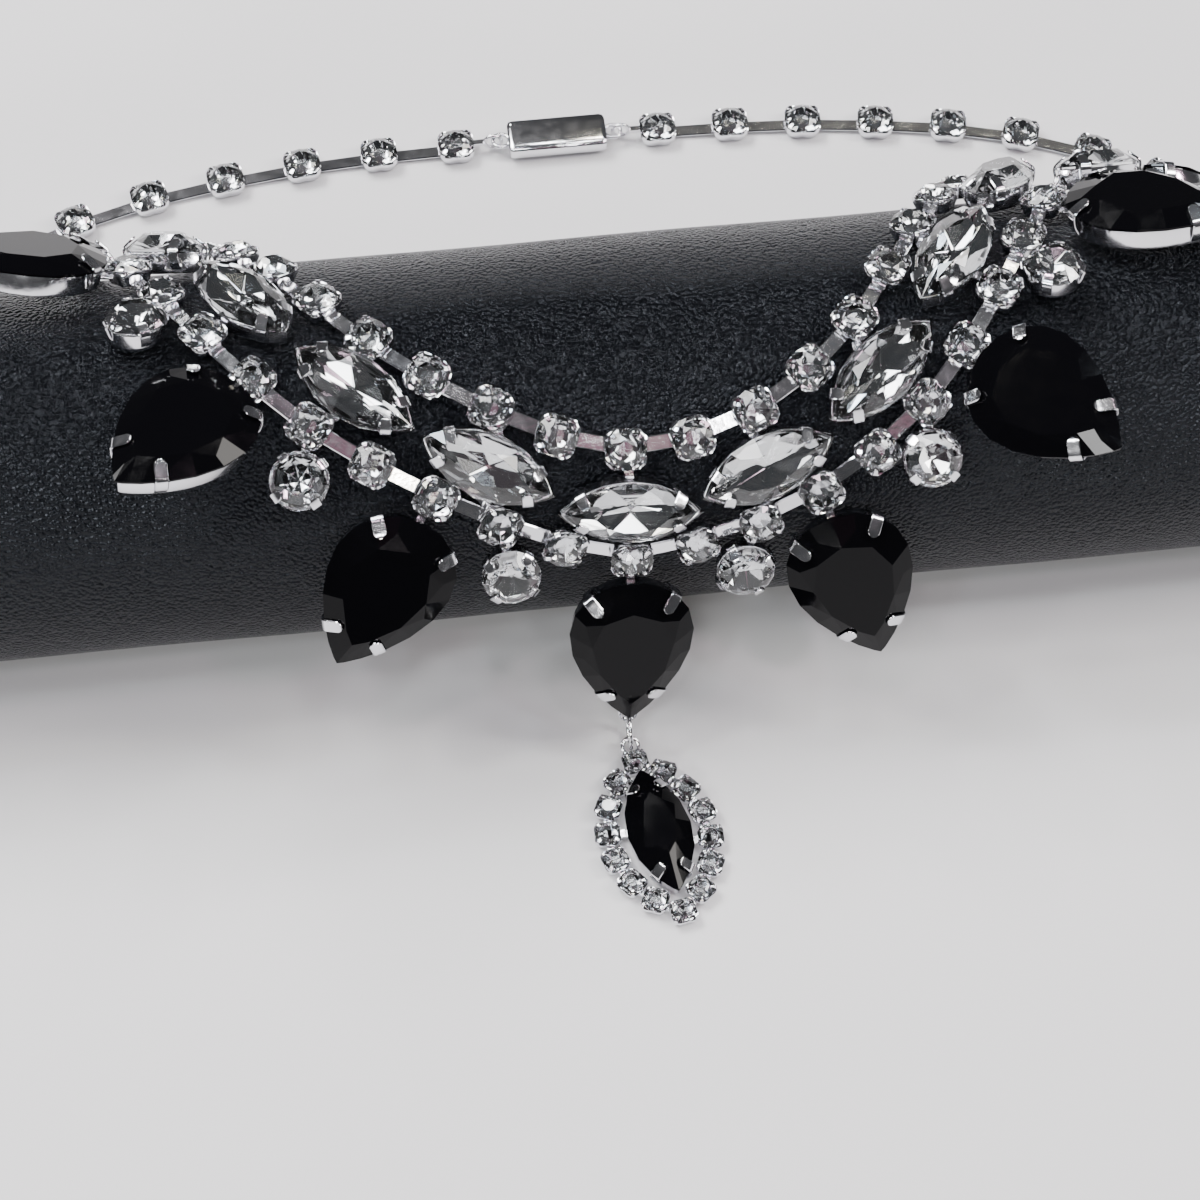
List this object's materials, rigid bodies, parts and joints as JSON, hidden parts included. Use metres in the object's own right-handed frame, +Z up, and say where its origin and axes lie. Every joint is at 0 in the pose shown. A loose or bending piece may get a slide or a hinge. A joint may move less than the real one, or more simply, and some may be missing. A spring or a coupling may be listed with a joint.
{
  "type": "bib necklace on a display roll",
  "caption": "Bib necklace of clear and black cut stones in soldered cup chains, with a haloed pendant, draped over a plain dark display roll.",
  "frame": {"origin": "centre of the flat underside that the roll rests on", "axes": "+X along the roll, to the necklace's right side as seen from the front; -Y towards the front, where the pendant lies; +Z up"},
  "size_m": [0.19, 0.1103, 0.0457],
  "materials": {
    "leatherette": "fine black pebble grain, soft sheen",
    "metal": "polished silver-coloured plating",
    "clear_stone": "clear cut glass, foiled behind",
    "black_stone": "opaque black cut glass, polished"
  },
  "bodies": {
    "root": {"display_roll": "leatherette", "bib_frame": "metal", "neck_strand_left": "metal", "neck_strand_right": "metal", "clasp": "metal", "jump_ring": "metal", "pendant_frame": "metal", "marquise_stone_left_4": "clear_stone", "marquise_stone_left_3": "clear_stone", "marquise_stone_left_2": "clear_stone", "marquise_stone_left_1": "clear_stone", "marquise_stone_middle": "clear_stone", "marquise_stone_right_1": "clear_stone", "marquise_stone_right_2": "clear_stone", "marquise_stone_right_3": "clear_stone", "marquise_stone_right_4": "clear_stone", "round_stone_left_3": "clear_stone", "round_stone_left_2": "clear_stone", "round_stone_left_1": "clear_stone", "round_stone_right_1": "clear_stone", "round_stone_right_2": "clear_stone", "round_stone_right_3": "clear_stone", "neck_clear_stone_left": "clear_stone", "neck_clear_stone_right": "clear_stone", "pear_stone_left_3": "black_stone", "pear_stone_left_2": "black_stone", "pear_stone_left_1": "black_stone", "pear_stone_middle": "black_stone", "pear_stone_right_1": "black_stone", "pear_stone_right_2": "black_stone", "pear_stone_right_3": "black_stone", "neck_black_stone_left": "black_stone", "neck_black_stone_right": "black_stone", "pendant_stone": "black_stone"}
  },
  "joints": []
}
